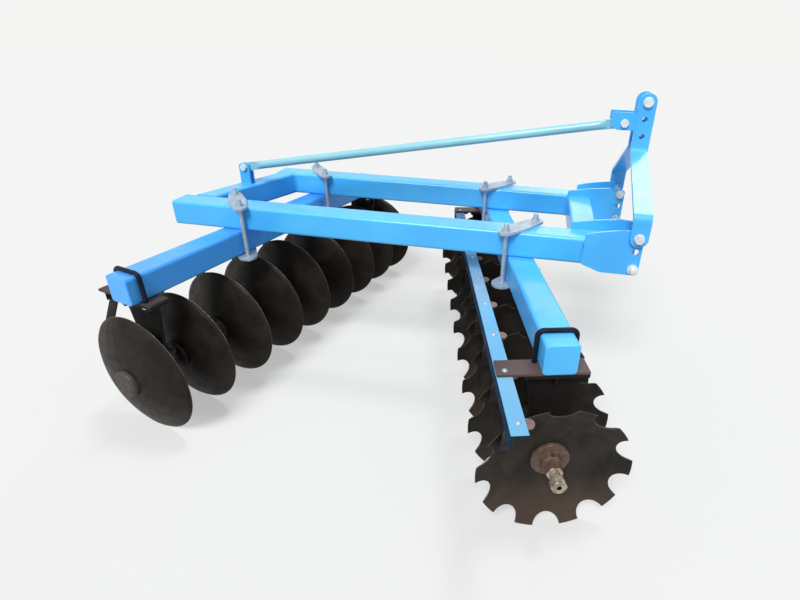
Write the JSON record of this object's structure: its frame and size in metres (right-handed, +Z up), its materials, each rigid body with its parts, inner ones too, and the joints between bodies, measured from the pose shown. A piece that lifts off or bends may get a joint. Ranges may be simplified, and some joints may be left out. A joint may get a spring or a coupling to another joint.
{
  "type": "disc harrow",
  "caption": "Mounted offset disc harrow: a blue two-beam frame with a three-point mast over two angled gangs of dished discs, the front ones notched.",
  "frame": {"origin": "on the ground under the middle of the machine's bounding box", "axes": "+X to the machine's right, +Y forwards to the hitch, +Z up"},
  "size_m": [2.3646, 2.3418, 1.4395],
  "materials": {
    "frame_blue": "gloss blue machine enamel, a little dusty",
    "bar_blue": "duller greyish blue enamel",
    "zinc": "dull bright zinc plating",
    "bracket_brown": "dark brown primer, worn and dusty",
    "dark_steel": "dark oiled steel",
    "disc_steel": "dark heat-treated steel with a ground edge",
    "cast_iron": "dark raw casting",
    "shaft_steel": "oiled machined steel",
    "black_paint": "dull black paint over plate and flat bar"
  },
  "bodies": {
    "frame": {"main_beam_right": "frame_blue", "main_beam_left": "frame_blue", "rear_cross_member": "frame_blue", "front_cross_member": "frame_blue", "hitch_plates": "frame_blue", "hitch_pins": "zinc", "mast": "frame_blue", "mast_bolts": "zinc", "mast_stay": "frame_blue", "mast_stay_ears": "frame_blue", "gang_beam_front": "frame_blue", "scraper_bar_front": "bar_blue", "scrapers_front": "black_paint", "beam_clamps": "zinc", "hangers": "black_paint", "hanger_u_bolts": "dark_steel", "bearing_housings": "bracket_brown", "scraper_arms": "bracket_brown", "gang_beam_rear": "frame_blue", "scraper_bar_rear": "bracket_brown", "scrapers_rear": "black_paint"},
    "front_gang": {"disc_front_1": "disc_steel", "disc_front_2": "disc_steel", "disc_front_3": "disc_steel", "disc_front_4": "disc_steel", "disc_front_5": "disc_steel", "disc_front_6": "disc_steel", "disc_front_7": "disc_steel", "disc_front_8": "disc_steel", "disc_front_9": "disc_steel", "spools_front": "cast_iron", "gang_shaft_front": "shaft_steel", "end_fittings_front": "shaft_steel"},
    "rear_gang": {"disc_rear_1": "disc_steel", "disc_rear_2": "disc_steel", "disc_rear_3": "disc_steel", "disc_rear_4": "disc_steel", "disc_rear_5": "disc_steel", "disc_rear_6": "disc_steel", "disc_rear_7": "disc_steel", "disc_rear_8": "disc_steel", "disc_rear_9": "disc_steel", "spools_rear": "cast_iron", "gang_shaft_rear": "shaft_steel", "end_fittings_rear": "shaft_steel"}
  },
  "joints": [
    {"name": "front_gang_spin", "type": "hinge", "parent": "frame", "child": "front_gang", "pos_m": [-0.12219, 0.56044, 0.27527], "axis": [0.9659, 0.2588, 0], "continuous": true},
    {"name": "rear_gang_spin", "type": "hinge", "parent": "frame", "child": "rear_gang", "pos_m": [-0.12219, -0.66656, 0.28], "axis": [0.9703, -0.2419, 0], "continuous": true}
  ]
}
